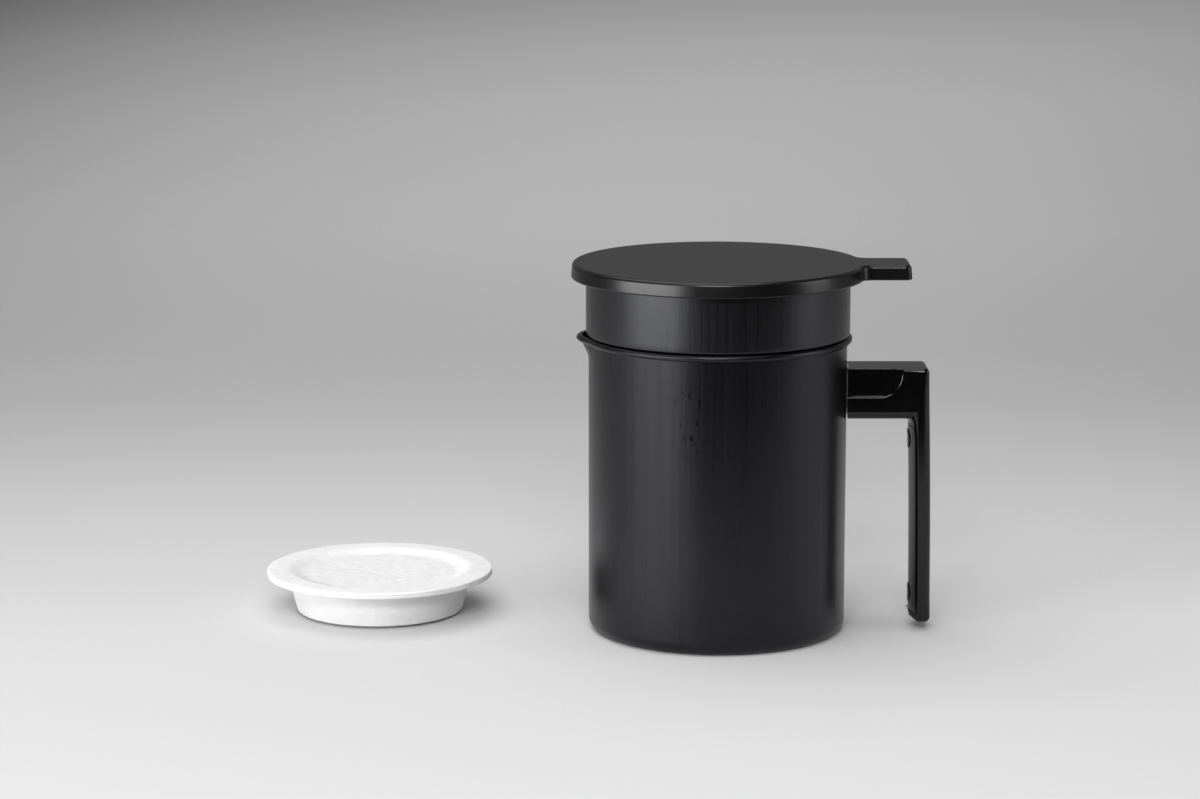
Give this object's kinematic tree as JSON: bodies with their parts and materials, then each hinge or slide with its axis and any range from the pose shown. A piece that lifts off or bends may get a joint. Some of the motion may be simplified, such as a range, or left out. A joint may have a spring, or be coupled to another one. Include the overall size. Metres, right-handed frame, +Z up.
{
  "type": "oil and grease keeper",
  "caption": "Black lidded can for used cooking oil or bacon grease, with a pouring lip, moulded handle, hanging upper vessel and a loose felt filter cartridge.",
  "frame": {"origin": "centre of the can's flat base, on the floor", "axes": "+Z up, +X from the can's axis towards the handle and the lid's tab"},
  "size_m": [0.3004, 0.1475, 0.1662],
  "materials": {
    "black_coat": "satin black non-stick coating",
    "handle_moulding": "smooth, softly glossy",
    "lid_moulding": "fine-grained matt",
    "bare_steel": "bare",
    "white_felt": "pressed fibre",
    "carbon_bed": "black granules"
  },
  "bodies": {
    "pot": {"can_body": "black_coat", "handle_bracket": "bare_steel", "handle_shell": "handle_moulding", "bracket_screw": "bare_steel", "bracket_nut": "bare_steel", "grip_liner": "handle_moulding", "grip_screw_lower": "bare_steel", "grip_screw_upper": "bare_steel", "grip_plug_lower": "handle_moulding", "grip_plug_upper": "handle_moulding"},
    "vessel": {"strainer_vessel": "black_coat"},
    "cover": {"lid": "lid_moulding"},
    "cartridge": {"cartridge_cup": "white_felt", "cartridge_top_sheet": "white_felt", "filter_bed": "carbon_bed"}
  },
  "joints": [
    {"name": "lift_vessel", "type": "slide", "parent": "pot", "child": "vessel", "axis": [0, 0, 1], "range_m": [0, 0.07]},
    {"name": "lift_lid", "type": "slide", "parent": "vessel", "child": "cover", "axis": [0, 0, 1], "range_m": [0, 0.05]},
    {"name": "lift_cartridge", "type": "slide", "parent": "pot", "child": "cartridge", "axis": [0, 0, 1], "range_m": [0, 0.06]}
  ]
}
